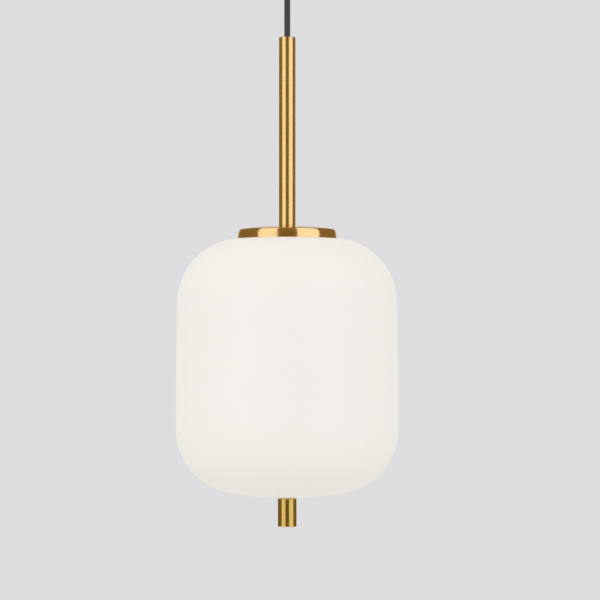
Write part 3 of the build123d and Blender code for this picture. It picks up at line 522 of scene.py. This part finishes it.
def plain_sheath(settings):
    """The cord where it is held inside the metal parts: the same yarn, pressed flat."""
    f = Finish("charcoal_sheath")
    weave = f.noise(1.0, 2.0, f.round_axis(6.0, 1800.0))
    tone = tuple(settings.colour)
    # Painted shade: the yarn is darker in the low parts of the weave.
    f.set("Base Color", f.blend(weave, tuple(0.5 * c for c in tone), tone))
    f.set("Roughness", f.ramp(weave, 0.3, 0.7, 0.5, 0.7))
    f.bump(weave, 0.08 * MM, 0.6)
    return f.material


def moulded(name, colour, roughness, **values):
    """A moulded plastic, rubber or glaze: fine orange-peel grain and a slight drift of colour."""
    f = Finish(name, **values)
    drift = f.ramp(f.noise(90.0, 3.0), 0.35, 0.7)
    f.set("Base Color", f.blend(drift, colour, tuple(0.92 * c for c in colour)))
    grain = f.noise(2200.0, 2.0)
    f.set("Roughness", f.ramp(grain, 0.3, 0.7, roughness - 0.05, roughness + 0.05))
    f.bump(grain, 0.012 * MM, 0.5)
    return f.material


def wire_insulation():
    """Soft insulation of line and neutral: brown on one side of the fitting, blue on the other."""
    f = Finish("wire_insulation", specular_ior_level=0.5)
    x, y, _ = f.parts(f.coords)
    side = f.ramp(f.math("ADD", y, f.math("MULTIPLY", x, 0.02)), -0.00001, 0.00001)
    drift = f.noise(500.0, 3.0)
    brown = f.blend(drift, (0.16, 0.055, 0.022), (0.2, 0.075, 0.03))
    blue = f.blend(drift, (0.02, 0.11, 0.42), (0.03, 0.15, 0.5))
    f.set("Base Color", f.blend(side, blue, brown))
    f.set("Roughness", f.ramp(drift, 0.3, 0.7, 0.3, 0.45))
    f.bump(drift, 0.02 * MM, 0.4)
    return f.material


def earth_insulation(screw_x):
    """Green and yellow earth conductor that ends in a tinned ring."""
    f = Finish("earth_insulation")
    x, y, _ = f.parts(f.coords)
    side = f.ramp(y, -0.00006, 0.00006)
    away = f.math("ABSOLUTE", f.math("SUBTRACT", x, screw_x))
    tinned = f.math("LESS_THAN", away, 4.2 * MM)
    drift = f.noise(600.0, 3.0)
    cover = f.blend(side, (0.75, 0.6, 0.03), (0.05, 0.3, 0.06))
    cover = f.blend(f.math("MULTIPLY", drift, 0.2), cover, (0.3, 0.35, 0.1))
    f.set("Base Color", f.blend(tinned, cover, (0.72, 0.71, 0.69)))
    f.set("Metallic", tinned)
    f.set("Roughness", f.ramp(drift, 0.3, 0.7, 0.3, 0.42))
    f.bump(drift, 0.02 * MM, 0.4)
    return f.material


def frosted_bulb():
    """Frosted envelope of the bulb, lit from inside."""
    f = Finish("frosted_envelope_lit", emission_color=(1.0, 0.93, 0.82), emission_strength=1.5)
    frost = f.noise(1800.0, 3.0)
    f.set("Base Color", f.blend(frost, (0.86, 0.85, 0.83), (0.8, 0.79, 0.77)))
    f.set("Roughness", f.ramp(frost, 0.3, 0.7, 0.45, 0.6))
    f.bump(frost, 0.01 * MM, 0.4)
    return f.material


def led_disc(face_level):
    """White circuit disc whose light sources are phosphor yellow."""
    f = Finish("led_disc")
    z = f.parts(f.coords)[2]
    source = f.math("LESS_THAN", z, face_level)
    speck = f.noise(1500.0, 3.0)
    mask = f.blend(speck, (0.86, 0.86, 0.84), (0.8, 0.8, 0.78))
    f.set("Base Color", f.blend(source, mask, (0.85, 0.62, 0.1)))
    f.set("Roughness", f.ramp(speck, 0.3, 0.7, 0.35, 0.5))
    f.bump(speck, 0.01 * MM, 0.4)
    return f.material


# ---------------------------------------------------------------- operators


class PENDANT_OT_stage(bpy.types.Operator):
    """Camera, softboxes, pale floor and backdrop"""

    bl_idname = "pendant.stage"
    bl_label = "Stage"

    def execute(self, context):
        s = context.scene.pendant_stage
        self.camera(context.scene, s)
        self.softboxes(s)
        self.surround(context.scene, s)
        self.backdrop(s)
        return {"FINISHED"}

    def camera(self, scene, s):
        """A level long lens, turned up a little, with the lamp just left of the middle."""
        stem_top = span("stem")[2]
        eye_level = stem_top - EYE_BELOW_STEM_TOP
        data = bpy.data.cameras.new("camera")
        data.lens = s.lens
        data.sensor_width = 36.0
        data.clip_end = 100.0
        camera = bpy.data.objects.new("camera", data)
        camera.location = (0.0, -s.distance, eye_level)
        up = atan2(AIM_ABOVE_EYE, s.distance)
        aside = atan2(AIM_ASIDE, s.distance)
        camera.rotation_euler = Euler((pi / 2 + up, 0.0, -aside), "XYZ")
        scene.collection.objects.link(camera)
        scene.camera = camera

    def softboxes(self, s):
        """Two curved cards that only polished surfaces see, and a weak key light.

        A card's points are (d sin p, -d cos p, level + d tan e) for its elevations e. Its two
        side edges p fan outwards with the size of e, by the given share.
        """
        level = (CAD_BOX[0][2] + CAD_BOX[1][2]) / 2
        away = CARD_DISTANCE
        glow = bpy.data.materials.new("softbox")
        glow.use_nodes = True
        nodes = glow.node_tree.nodes
        light = nodes.new("ShaderNodeEmission")
        light.inputs["Strength"].default_value = s.softbox
        output = next(n for n in nodes if n.type == "OUTPUT_MATERIAL")
        glow.node_tree.links.new(light.outputs[0], output.inputs["Surface"])
        cards = (
            ("softbox_left", -69.0, -22.0, -0.2, -0.08),
            ("softbox_right", 22.5, 77.5, 0.08, 0.2),
        )
        for name, first, last, fan_first, fan_last in cards:
            e = np.linspace(CARD_LOW, CARD_HIGH, CARD_ROWS)[:, None]
            left, right = first + fan_first * np.abs(e), last + fan_last * np.abs(e)
            p = np.radians(left + (right - left) * np.linspace(0, 1, CARD_COLUMNS)[None, :])
            z = np.broadcast_to(level + away * np.tan(np.radians(e)), p.shape)
            points = np.stack([away * np.sin(p), -away * np.cos(p), z], -1).reshape(-1, 3)
            i, j = np.arange(CARD_ROWS - 1)[:, None], np.arange(CARD_COLUMNS - 1)[None, :]
            corner = i * CARD_COLUMNS + j
            corners = (corner, corner + 1, corner + 1 + CARD_COLUMNS, corner + CARD_COLUMNS)
            card = make_mesh(name, points, np.stack(corners, -1).reshape(-1, 4))
            card.data.materials.append(glow)
            card.visible_camera = card.visible_diffuse = card.visible_shadow = False
        data = bpy.data.lights.new("key", "AREA")
        data.size = 2.5
        data.energy = 6.0
        key = bpy.data.objects.new("key", data)
        key.location = KEY_OFFSET + Vector((0.0, 0.0, level))
        key.rotation_euler = (-KEY_OFFSET).to_track_quat("-Z", "Y").to_euler()
        key.visible_camera = key.visible_glossy = False
        bpy.context.scene.collection.objects.link(key)

    def surround(self, scene, s):
        """Light from all round, from a function of direction.

        Matte surfaces see an even fill that fades downwards. Polished ones see a dim warm room
        that is darkest at the front, with the pale backdrop behind the lamp.
        """
        world = bpy.data.worlds.new("studio")
        world.use_nodes = True
        scene.world = world
        nodes, links = world.node_tree.nodes, world.node_tree.links
        back = next(n for n in nodes if n.type == "BACKGROUND")
        axes = nodes.new("ShaderNodeSeparateXYZ")
        links.new(nodes.new("ShaderNodeTexCoord").outputs["Generated"], axes.inputs[0])

        def fade(axis, start, end, low, high):
            made = nodes.new("ShaderNodeMapRange")
            made.interpolation_type = "SMOOTHSTEP"
            links.new(axes.outputs[axis], made.inputs[0])
            for socket, number in zip(made.inputs[1:], (start, end, low, high)):
                socket.default_value = number
            return made.outputs[0]

        def blend(share, first, second):
            made = nodes.new("ShaderNodeMix")
            made.data_type = "RGBA"
            links.new(share, made.inputs[0])
            for socket, value in zip((made.inputs[6], made.inputs[7]), (first, second)):
                if isinstance(value, bpy.types.NodeSocket):
                    links.new(value, socket)
                else:
                    socket.default_value = (*value, 1.0)
            return made.outputs[2]

        dark_front, room, wall = (0.2, 0.122, 0.016), (0.235, 0.16, 0.056), tuple(s.backdrop)
        polished = blend(fade("Y", -0.8, -0.97, 0.0, 1.0), room, dark_front)
        polished = blend(fade("Y", 0.86, 0.94, 0.0, 1.0), polished, wall)
        matte = blend(fade("Z", -0.8, -0.2, 0.0, 1.0), (0.78 * s.fill,) * 3, (s.fill,) * 3)
        path = nodes.new("ShaderNodeLightPath")
        links.new(blend(path.outputs["Is Glossy Ray"], matte, polished), back.inputs["Color"])

    def backdrop(self, s):
        """A pale drum round the stage and a pale floor below it."""
        floor_level = CAD_BOX[0][2] - FLOOR_DROP
        tone = tuple(s.backdrop)
        drum = [(DRUM_R, DRUM_TOP), (DRUM_R, floor_level - DRUM_BELOW_FLOOR)]
        wall = lathe("backdrop", drum, DRUM_SEGMENTS, loop=False)
        drop = bpy.data.materials.new("backdrop")
        drop.use_nodes = True
        nodes = drop.node_tree.nodes
        light = nodes.new("ShaderNodeEmission")
        light.inputs["Color"].default_value = (*tone, 1.0)
        output = next(n for n in nodes if n.type == "OUTPUT_MATERIAL")
        drop.node_tree.links.new(light.outputs[0], output.inputs["Surface"])
        wall.data.materials.append(drop)
        wall.visible_diffuse = False
        wall.visible_glossy = False
        wall.visible_shadow = False
        disc = [(0.0, floor_level), (DRUM_R, floor_level)]
        floor = lathe("floor", disc, DRUM_SEGMENTS, loop=False)
        ground = Finish("pale_floor", roughness=0.8, emission_color=tone)
        x, y, _ = ground.parts(ground.coords)
        away = ground.math("ADD", ground.math("MULTIPLY", x, x), ground.math("MULTIPLY", y, y))
        rim = ground.ramp(away, 9.0, 49.0)
        speck = ground.blend(ground.noise(3.0, 4.0), (0.8, 0.8, 0.81), (0.76, 0.76, 0.77))
        ground.set("Base Color", ground.blend(rim, speck, (0.0, 0.0, 0.0)))
        ground.set("Emission Strength", rim)
        floor.data.materials.append(ground.material)


class PENDANT_OT_cord(bpy.types.Operator):
    """Braided cord between the ceiling grip and the stem"""

    bl_idname = "pendant.cord"
    bl_label = "Cord"

    def execute(self, context):
        s = context.scene.pendant_cord
        line = self.route_points(CORD_ROUTE)
        piece = self.braid(s, line)
        settle(piece, "cord", "cord_fabric", braid_yarn(s), "cord")
        dress(plain_sheath(s), "cord_tail", "stem_cord")
        return {"FINISHED"}

    def route_points(self, route):
        """Points along the smooth line of the route, as its spline gives them."""
        curve = bpy.data.curves.new("cord_route", "CURVE")
        curve.dimensions = "3D"
        curve.resolution_u = 24
        spline = curve.splines.new("NURBS")
        spline.points.add(len(route) - 1)
        for point, place in zip(spline.points, route):
            point.co = (*place, 1.0)
        spline.order_u = 3
        spline.use_endpoint_u = True
        guide = bpy.data.objects.new("cord_route", curve)
        bpy.context.scene.collection.objects.link(guide)
        bpy.context.view_layer.update()
        mesh = bpy.data.meshes.new_from_object(guide)
        points = np.array([v.co for v in mesh.vertices])
        bpy.data.objects.remove(guide)
        bpy.data.meshes.remove(mesh)
        bpy.data.curves.remove(curve)
        return points

    def braid(self, s, line):
        """A tube of crossing yarns round the line.

        With u round the cord and v along it, two sets of yarns run at u + v and u - v. Each is a
        row of half-round crowns, and they change places over and under like a checkerboard.
        The height of the upper yarn lifts the surface, and both ends close as half balls.
        """
        radius = s.diameter / 2
        columns, rows = BRAID_COLUMNS, BRAID_ROWS
        top, bottom = line[0][2] + radius, line[-1][2] - radius
        z = np.linspace(top, bottom, rows)
        u = np.arange(columns) * 2 * pi / columns
        lay = 2 * pi * radius / s.carriers
        around = u[None, :] * s.carriers / (2 * pi)
        along = (z[:, None] - bottom) / (BRAID_SLANT * lay)
        one = np.abs(np.sin(pi * (around + along)))
        two = np.abs(np.sin(pi * (around - along)))
        over = np.sin(pi * (around + along)) * np.sin(pi * (around - along))
        upper = 1 / (1 + np.exp(-BRAID_CROSSING * over))
        height = upper * one**BRAID_CROWN + (1 - upper) * two**BRAID_CROWN
        past = np.maximum(z - line[0][2], line[-1][2] - z)
        ball = np.sqrt(np.maximum(1 - (np.maximum(past, 0) / radius) ** 2, 0))
        reach = (radius - s.relief * (1 - height)) * ball[:, None]
        x, y = reach * np.cos(u), reach * np.sin(u)
        points = np.stack([x, y, np.broadcast_to(z[:, None], x.shape)], -1).reshape(-1, 3)
        piece = make_mesh("cord_braid", points, grid_faces(rows, columns, False), 180.0)
        mesh = piece.data
        co = np.empty(len(mesh.vertices) * 3, np.float32)
        mesh.vertices.foreach_get("co", co)
        co = co.reshape(-1, 3)
        flat = 1 - (radius - np.hypot(co[:, 0], co[:, 1])) / s.relief
        relief = mesh.attributes.new("relief", "FLOAT", "POINT")
        relief.data.foreach_set("value", np.clip(flat, 0, 1).astype(np.float32))
        return piece


class PENDANT_OT_glass(bpy.types.Operator):
    """Opal glass shade with its mouth, small hole and bush"""

    bl_idname = "pendant.glass"
    bl_label = "Glass shade"

    def execute(self, context):
        s = context.scene.pendant_glass
        _, low, high = span("glass_shade")
        outer = self.wall_line(s, high, 0.0)
        inner = self.wall_line(s, high, s.wall / MM)
        mouth = rounded([outer[1], outer[0], inner[0], inner[1]], GLASS_LIP_R)[1:-1]
        hole = rounded([outer[-2], outer[-1], inner[-1], inner[-2]], GLASS_LIP_R)[1:-1]
        half = len(mouth) // 2
        profile = np.concatenate([mouth[:half][::-1], outer[1:-1], hole, inner[1:-1][::-1],
                                  mouth[half:][::-1]])
        piece = lathe("opal_shade", profile * MM, GLASS_SEGMENTS, ripple=self.ripple(s, high))
        settle(piece, "shade", "opal_glass", opal_glass(s, low, high), "glass_shade")
        soft = moulded("silicone_bush", (0.62, 0.62, 0.6), 0.45, specular_ior_level=0.4)
        dress(soft, "glass_grommet", "rubber_washer", "cap_gasket")
        return {"FINISHED"}

    def wall_line(self, s, high, inset):
        """One face of the wall in mm: flat round the mouth, then arcs down to the small hole."""
        level = high / MM - inset
        arcs = slope_arcs((GLASS_FLAT_R, level), 0.0, GLASS_ARCS, inset, GLASS_STEP)
        r, z = arcs[-1]
        slope = GLASS_ARCS[-1][1]
        last = r / sin(radians(slope))
        end = 180.0 - degrees(asin(GLASS_HOLE_R / last))
        bottom = slope_arcs((r, z), slope, ((last, end),), 0.0, GLASS_STEP)
        flat = np.array([[s.mouth / MM, level], [0.5 * (s.mouth / MM + GLASS_FLAT_R), level]])
        return np.concatenate([flat, arcs, bottom[1:]])

    def ripple(self, s, high):
        """Slow waves, a sum of three sines of angle and height, that die out at mouth and hole."""

        def wave(a, z, r):
            calm = np.clip((high - z) / 0.06, 0, 1) * np.clip((r - 0.02) / 0.05, 0, 1)
            swell = (np.sin(3 * a + 38 * z + 1.0) + 0.7 * np.sin(5 * a - 61 * z + 2.2)
                     + 0.5 * np.sin(2 * a + 97 * z)) / 2.2
            return s.ripple * calm * (swell - 1)

        return wave


class PENDANT_OT_brass(bpy.types.Operator):
    """Stem, cap, thumb nut and ceiling canopy in satin brass"""

    bl_idname = "pendant.brass"
    bl_label = "Brass parts"

    def execute(self, context):
        s = context.scene.pendant_brass
        brass = satin_brass(s, "satin_brass")
        brushed = satin_brass(s, "satin_brass_drawn", depth=0.04, satin=0.06, drawn=True)
        # Painted shade: a darker, warmer copy of the brass for the thumb nut that hangs under the
        # glass.
        painted_shade = satin_brass(s, "satin_brass_painted_shade", depth=0.29, satin=0.05)
        settle(self.stem(), "lamp", "satin_brass", brushed, "stem")
        settle(self.cap(), "lamp", "satin_brass", brass, "cap")
        settle(self.finial(), "finial", "satin_brass", painted_shade, "finial")
        dress(brass, "stem_top_bush", "canopy", "canopy_screws", "cord_grip")
        dress(raw_brass(), "stem_bottom_bush", "screw_shell", "center_contact")
        return {"FINISHED"}

    def stem(self):
        """A tube: straight outside, rounded top edge, straight bore."""
        radius, low, high = span("stem")
        bore_r = span("stem_top_bush")[0]
        edge = [(radius, low + STEM_FOOT_RUN), (radius, high), (bore_r, high)]
        top = rounded(edge, STEM_EDGE_R, 10)[1:]
        side = np.linspace(low, low + STEM_FOOT_RUN, 8)
        outer = [(radius - STEM_CHAMFER, low)] + [(radius, z + STEM_CHAMFER) for z in side[:-1]]
        bore = [(bore_r, low + 0.1), (bore_r, low)]
        profile = np.concatenate([top, bore, outer])
        return lathe("stem_tube", self.downwards(profile), TURNED_SEGMENTS)

    def downwards(self, profile):
        """The same loop, turned so that it goes down the outside."""
        r, z = profile.T
        area = np.sum(r * np.roll(z, -1) - np.roll(r, -1) * z)
        return profile if area < 0 else profile[::-1]

    def cap(self):
        """A shell: flat seat, dome, rounded edge, curved side, and the same again inside."""
        radius, low, high = (value / MM for value in span("cap"))
        edge = sin(radians(CAP_EDGE_END))
        dome = radius - CAP_EDGE_R * edge - CAP_SIDE_R * (1 - edge)
        dome_end = degrees(asin(dome / (CAP_DOME_R - CAP_EDGE_R)))
        seat_slope = degrees(asin(CAP_SEAT_R / CAP_DOME_R))
        arcs = ((CAP_DOME_R, dome_end), (CAP_EDGE_R, CAP_EDGE_END), (CAP_SIDE_R, 90.0))

        def face(inset):
            t = radians(seat_slope)
            start = (CAP_SEAT_R - inset * sin(t), high - inset * cos(t))
            curve = slope_arcs(start, seat_slope, arcs, inset, CAP_STEP)
            foot = np.array([[curve[-1][0], low + CAP_RIM_R]])
            return np.concatenate([[[CAP_HOLE_R, start[1]]], curve, foot])

        outer, inner = face(0.0), face(CAP_WALL)
        foot = [outer[-1], (radius, low), (radius - CAP_WALL, low), inner[-1]]
        rim = rounded(foot, CAP_RIM_R, 4)[1:-1]
        profile = np.concatenate([outer, rim, inner[::-1]])
        return lathe("cap_shell", profile * MM, CAP_SEGMENTS)

    def finial(self):
        """A solid cylinder with eased ends, recessed on top and drilled for the stud."""
        radius, low, high = span("finial")
        floor = high - NUT_RECESS
        end = high - NUT_HOLE
        inside = [
            (0.0, end - NUT_DRILL_TIP),
            (NUT_HOLE_R, end),
            (NUT_HOLE_R, floor - NUT_HOLE_CHAMFER),
            (NUT_HOLE_R + NUT_HOLE_CHAMFER, floor),
            (NUT_RECESS_R, floor),
        ]
        corners = [(NUT_RECESS_R, high), (radius, high), (radius, low), (0.0, low)]
        side = rounded(corners, NUT_EDGE_R, 7)
        return lathe("thumb_nut", np.concatenate([inside, side]), TURNED_SEGMENTS, loop=False)


class PENDANT_OT_inner_frame(bpy.types.Operator):
    """Steel bars, rods, stud and nuts that carry the glass"""

    bl_idname = "pendant.inner_frame"
    bl_label = "Inner frame"

    def execute(self, context):
        steel = zinc_steel()
        stud = self.stud()
        settle(stud, "lamp", "zinc_steel", steel, "finial_stud")
        rods = self.rods()
        settle(rods, "lamp", "zinc_steel", steel, "support_rods")
        dress(steel, "top_plate", "bottom_bar", "rod_nuts", "stud_nuts", "plate_nut", "cap_spacer",
              "nipple", "steel_washer", "grip_nut", "grip_screw", "ceiling_bracket",
              "earth_screw", "terminal_screws", "socket_screws")
        return {"FINISHED"}

    def screw(self, name, radius, low, high, pitch, threads, centre=(0.0, 0.0)):
        """A rod with a V thread.

        The radius drops by up to 0.6 pitch with the distance of z / pitch - a / turn from a
        whole number. threads gives the share of the full depth at each height.
        """
        z = np.linspace(high, low, int((high - low) / pitch * THREAD_STEPS))
        inset = THREAD_CHAMFER
        r = np.full(z.shape, radius) - np.maximum(inset - np.minimum(high - z, z - low), 0)
        depth = THREAD_DEPTH * pitch

        def groove(a, level, radii):
            turn = level / pitch - a / (2 * pi)
            share = threads(level) * np.clip((radii - (radius - inset)) / inset, 0, 1)
            return -depth * share * np.abs(2 * (turn % 1.0) - 1)

        profile = np.concatenate([[[0.0, high]], np.stack([r, z], 1), [[0.0, low]]])
        return lathe(name, profile, THREAD_SEGMENTS, loop=False, ripple=groove, centre=centre,
                     sharp=60.0)

    def stud(self):
        """The stud, threaded from end to end."""
        radius, low, high = span("finial_stud")
        return self.screw("finial_stud_threaded", radius, low, high, STUD_PITCH, lambda z: 1.0)

    def rods(self):
        """Two rods, threaded for 16 mm at the top and 18 mm at the bottom."""
        low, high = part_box("support_rods")
        radius = (high.y - low.y) / 2
        reach = high.x - radius

        def ends(z):
            threaded = (high.z - z < ROD_THREAD_TOP) | (z - low.z < ROD_THREAD_FOOT)
            return np.where(threaded, 1.0, 0.0)

        pair = [self.screw(f"rod_{k}", radius, low.z, high.z, ROD_PITCH, ends, (k * reach, 0.0))
                for k in (-1, 1)]
        work = bmesh.new()
        for rod in pair:
            work.from_mesh(rod.data)
            bpy.data.objects.remove(rod)
        mesh = bpy.data.meshes.new("support_rods_threaded")
        work.to_mesh(mesh)
        work.free()
        both = bpy.data.objects.new("support_rods_threaded", mesh)
        bpy.context.scene.collection.objects.link(both)
        return both


class PENDANT_OT_lampholder(bpy.types.Operator):
    """Lampholder, bulb and wiring"""

    bl_idname = "pendant.lampholder"
    bl_label = "Lampholder and bulb"

    def execute(self, context):
        dress(moulded("phenolic_black", (0.02, 0.02, 0.022), 0.32), "socket_cap", "socket_body")
        glaze = moulded("porcelain_glazed", (0.82, 0.8, 0.74), 0.14, coat_weight=0.4)
        dress(glaze, "socket_insert")
        white = moulded("white_thermoplastic", (0.78, 0.78, 0.76), 0.42)
        dress(white, "bulb_collar", "terminal_block")
        dress(moulded("bead_black", (0.012, 0.012, 0.013), 0.12), "bulb_contact")
        nickel = moulded("nickel_plate", (0.68, 0.66, 0.62), 0.24, metallic=1.0)
        dress(nickel, "bulb_base")
        dress(frosted_bulb(), "bulb_globe")
        board_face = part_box("led_board")[0].z + 0.7 * MM
        dress(led_disc(board_face), "led_board")
        dress(wire_insulation(), "supply_leads", "socket_leads")
        low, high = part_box("earth_screw")
        dress(earth_insulation((low.x + high.x) / 2), "earth_lead")
        return {"FINISHED"}


class PENDANT_PT_panel(bpy.types.Panel):
    """Lists the pendant's pieces in the order they are made"""

    bl_idname = "PENDANT_PT_panel"
    bl_label = "Pendant Light"
    bl_space_type = "VIEW_3D"
    bl_region_type = "UI"
    bl_category = "Pendant"

    def draw(self, context):
        for operator in OPERATORS:
            self.layout.operator(operator.bl_idname)
        for group in SETTINGS:
            settings = getattr(context.scene, group)
            box = self.layout.box()
            for name in settings.bl_rna.properties.keys():
                if name not in ("rna_type", "name"):
                    box.prop(settings, name)


OPERATORS = (
    PENDANT_OT_stage,
    PENDANT_OT_cord,
    PENDANT_OT_glass,
    PENDANT_OT_brass,
    PENDANT_OT_inner_frame,
    PENDANT_OT_lampholder,
)
SETTINGS = {
    "pendant_glass": PendantGlassSettings,
    "pendant_brass": PendantBrassSettings,
    "pendant_cord": PendantCordSettings,
    "pendant_stage": PendantStageSettings,
}


def register():
    for group, kind in SETTINGS.items():
        bpy.utils.register_class(kind)
        setattr(bpy.types.Scene, group, PointerProperty(type=kind))
    for kind in OPERATORS:
        bpy.utils.register_class(kind)
    bpy.utils.register_class(PENDANT_PT_panel)


def unregister():
    bpy.utils.unregister_class(PENDANT_PT_panel)
    for kind in reversed(OPERATORS):
        bpy.utils.unregister_class(kind)
    for group, kind in SETTINGS.items():
        delattr(bpy.types.Scene, group)
        bpy.utils.unregister_class(kind)


def main():
    register()
    bpy.context.scene.view_settings.view_transform = "Standard"
    bpy.ops.pendant.stage()
    bpy.ops.pendant.cord()
    bpy.ops.pendant.glass()
    bpy.ops.pendant.brass()
    bpy.ops.pendant.inner_frame()
    bpy.ops.pendant.lampholder()


if __name__ == "__main__":
    main()
